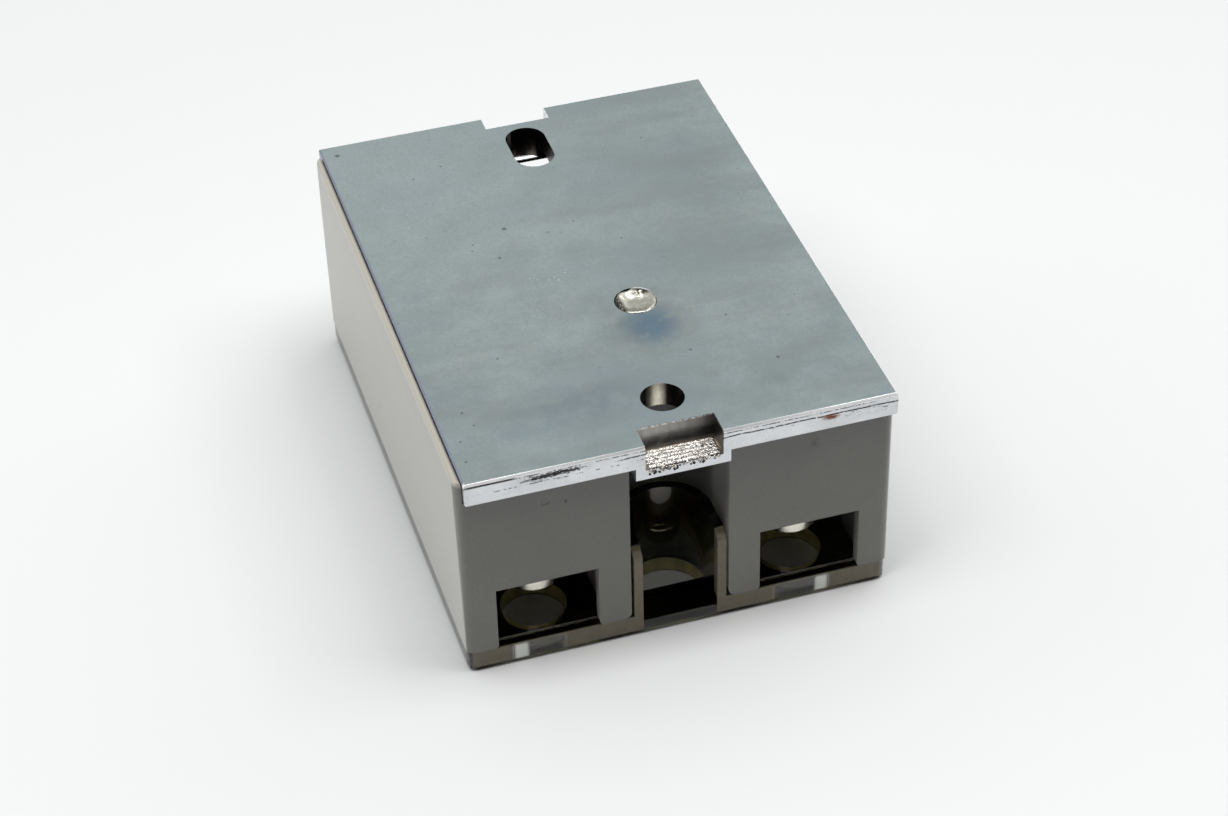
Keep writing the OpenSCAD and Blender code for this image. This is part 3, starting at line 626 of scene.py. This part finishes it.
def make_plate(looks):
    """The base plate with rolled ends: its top, its sides, the torn wall of the notch and the bores."""
    bm = clean_copy("base_plate")

    def rolled_edge_highlight(p, edge):
        along_x = abs((edge.verts[1].co - edge.verts[0].co).normalized().x) > 0.5
        return p.z > PLATE_TOP - 0.3 and along_x and not by_the_bores(p)

    round_edges(bm, width=0.13, chosen=rolled_edge_highlight, sharper_deg=20)
    top, side, torn, bore = range(4)
    for face in bm.faces:
        p = face.calc_center_median() / MM
        in_notch = abs(p.x - PLATE_X) < NOTCH_W / 2 + 0.05 and FRONT + 0.05 < p.y < FRONT + NOTCH_DEPTH + 0.05
        if face.normal.z > 0.97 and p.z > PLATE_TOP - 0.05:
            face.material_index = top
        elif in_notch and p.z > NOTCH_FLOOR - 0.1:
            face.material_index = torn
        elif by_the_bores(p) and p.z < PLATE_TOP - 0.12 and abs(face.normal.z) < 0.9:
            face.material_index = bore
        else:
            face.material_index = side
    materials = [looks[key] for key in ("top", "edge", "sheared", "bore")]
    link("plate", bm, materials, "relay", "base_plate")


def make_burr(material, crumb_shadow):
    """The torn floor of the notch, with crumbs of metal along its front edge and near-black lumps below them
    as their painted shadow.
    """
    bm = bmesh.new()
    step, row_gap = 0.08, 0.56
    width, depth = NOTCH_W - 0.5, NOTCH_DEPTH - 0.1
    columns, rows = round(width / step), round(depth / step)
    grid = []
    for j in range(rows + 1):
        for i in range(columns + 1):
            x = PLATE_X - width / 2 + 0.1 + i * step
            y = FRONT + j * step
            where = Vector((x * 4.2, y * 5.5, 0.0))
            lump = noise.noise(where) + 0.7 * noise.noise(where * 2.1)
            ridge = 0.05 * math.cos(2 * math.pi * (y - FRONT) / row_gap)
            inside = min(1.0, i / 2, (columns - i) / 2, (rows - j) / 2)
            z = NOTCH_FLOOR + 0.02 + inside * max(0.0, 0.07 + 0.05 * lump + ridge)
            grid.append(bm.verts.new(mm(x, y, z)))
    for j in range(rows):
        for i in range(columns):
            near = j * (columns + 1) + i
            far = near + columns + 1
            bm.faces.new([grid[near], grid[near + 1], grid[far + 1], grid[far]])
    draw = random.Random(7)
    crumbs(bm, draw, 34, FRONT + 0.02, NOTCH_FLOOR + 0.02, 0.10, 0.24)
    link("notch_burr", bm, [material], "relay", smooth_deg=25)
    # Painted shadow: near-black lumps just below the crumbs
    bm = bmesh.new()
    crumbs(bm, draw, 22, FRONT, NOTCH_FLOOR - 0.2, 0.08, 0.18)
    link("notch_crumb_shadows", bm, [crumb_shadow], "relay", smooth_deg=25)


def crumbs(bm, draw, count, y, z, small, large):
    """Small irregular lumps along the front edge of the notch, more of them towards its left."""
    for _ in range(count):
        radius = draw.uniform(small, large)
        x = PLATE_X - NOTCH_W / 2 + 0.35 + (NOTCH_W - 0.8) * draw.random() ** 1.25
        forward = 0.35 * radius * draw.random()
        drop = 0.25 * draw.random() * (1 + 0.1 * (PLATE_X - x))
        centre = Vector((x, y - forward, z - drop))
        lump = bmesh.ops.create_icosphere(bm, subdivisions=2, radius=1.0)["verts"]
        for vert in lump:
            push = 1.0 + 0.45 * noise.noise(vert.co * 1.3 + centre)
            vert.co = (vert.co * radius * push + centre) * MM


# The rivet's head from its middle outwards: radius, and height over the plate's top
RIVET_PROFILE = [(0.0, -0.60), (0.45, -0.58), (0.9, -0.50), (1.25, -0.38), (1.55, -0.22), (1.8, -0.05),
                 (1.95, 0.0), (2.08, -0.03), (2.18, -0.14), (2.2, -0.5)]


def make_rivet(material):
    """The peened head of the rivet: a ragged ring round an uneven dish."""
    middle = (RIVET_LOW + RIVET_HIGH) / 2
    sides = 64
    bm = bmesh.new()
    rings = []
    for radius, rise in RIVET_PROFILE[1:]:
        ring = []
        for i in range(sides):
            angle = 2 * math.pi * i / sides
            across = Vector((math.cos(angle), math.sin(angle), 0))
            wobble = noise.noise(across * radius * 1.4 + Vector((4, 9, 1)))
            reach = radius * (1 + 0.05 * wobble * radius / 2.2)
            z = PLATE_TOP + rise + (0.10 * wobble if radius < 2.1 else 0)
            ring.append(bm.verts.new(mm(middle.x + across.x * reach, middle.y + across.y * reach, z)))
        rings.append(ring)
    bottom = bm.verts.new(mm(middle.x, middle.y, PLATE_TOP + RIVET_PROFILE[0][1]))
    for i in range(sides):
        j = (i + 1) % sides
        bm.faces.new([bottom, rings[0][i], rings[0][j]])
        for inner, outer in zip(rings, rings[1:]):
            bm.faces.new([inner[i], outer[i], outer[j], inner[j]])
    bm.normal_update()
    link("rivet_head", bm, [material], "relay", smooth_deg=60)


def make_housing(material):
    """The housing with the edges of its two end faces rounded."""
    bm = clean_copy("housing")

    def on_end(p, edge):
        return min(abs(p.y - BODY_LOW.y), abs(p.y - BODY_HIGH.y)) < 0.02 and edge.calc_length() > 0.6 * MM

    round_edges(bm, width=0.22, chosen=on_end, sharper_deg=60)
    link("housing_shell", bm, [material], "relay", "housing")


def make_cover(material):
    """The smoky cover, as the CAD has it, with its flat faces merged."""
    bm = clean_copy("terminal_cover")
    link("cover_shell", bm, [material], "cover", "terminal_cover")


def make_floor():
    bm = bmesh.new()
    bmesh.ops.create_grid(bm, x_segments=2, y_segments=2, size=1.5)
    link("table", bm, [floor_material()])


def main():
    make_camera()
    make_light()
    make_floor()
    plastic = plastic_material()
    cover = cover_material()
    looks = {
        "zinc_plate": plate_edge_material(),
        "housing_plastic": plastic,
        "clear_cover": cover,
        "rivet_metal": rivet_material(),
        "screw_steel": metal("nickel_screw", (0.96, 0.93, 0.82), 0.24),
        "clamp_steel": metal("nickel_clamp", (0.72, 0.69, 0.60), 0.28),
        "terminal_brass": metal("tinned_brass", (0.70, 0.64, 0.48), 0.3),
        "nut_steel": metal("nut_steel", (0.6, 0.6, 0.58), 0.35),
        "copper": metal("copper", (0.72, 0.42, 0.28), 0.3),
        "ceramic": solid("ceramic", (0.8, 0.78, 0.74), 0.5),
        "silicon": solid("silicon", (0.1, 0.1, 0.12), 0.2),
        "resin": solid("resin", (0.06, 0.04, 0.025), 0.3),
        "board": solid("solder_mask", (0.02, 0.12, 0.05), 0.35),
        "component_black": solid("moulded_epoxy", (0.02, 0.02, 0.022), 0.45),
        "capacitor_body": solid("capacitor_lacquer", (0.5, 0.28, 0.03), 0.35),
        "resistor_body": solid("resistor_lacquer", (0.55, 0.42, 0.26), 0.4),
        "varistor_body": solid("varistor_lacquer", (0.02, 0.06, 0.3), 0.35),
        "led_body": solid("led_lens", (0.5, 0.02, 0.015), 0.2),
        "light_pipe_plastic": solid("light_pipe", (0.8, 0.8, 0.8), 0.1),
    }
    slots = {s["node"]: s["material_slot"] for s in frame["record"]["subparts"]}
    for node, obj in NODES.items():
        obj.data.materials[0] = looks[slots[node]]
    make_plate({"top": plate_top_material(), "edge": looks["zinc_plate"], "sheared": sheared_material(),
                "bore": bore_material()})
    make_burr(burr_material(), solid("crumb_shadow", (0.012, 0.011, 0.01), 0.5))
    make_rivet(looks["rivet_metal"])
    make_housing(plastic)
    make_cover(cover)


main()
bpy.context.scene.view_settings.view_transform = "Standard"
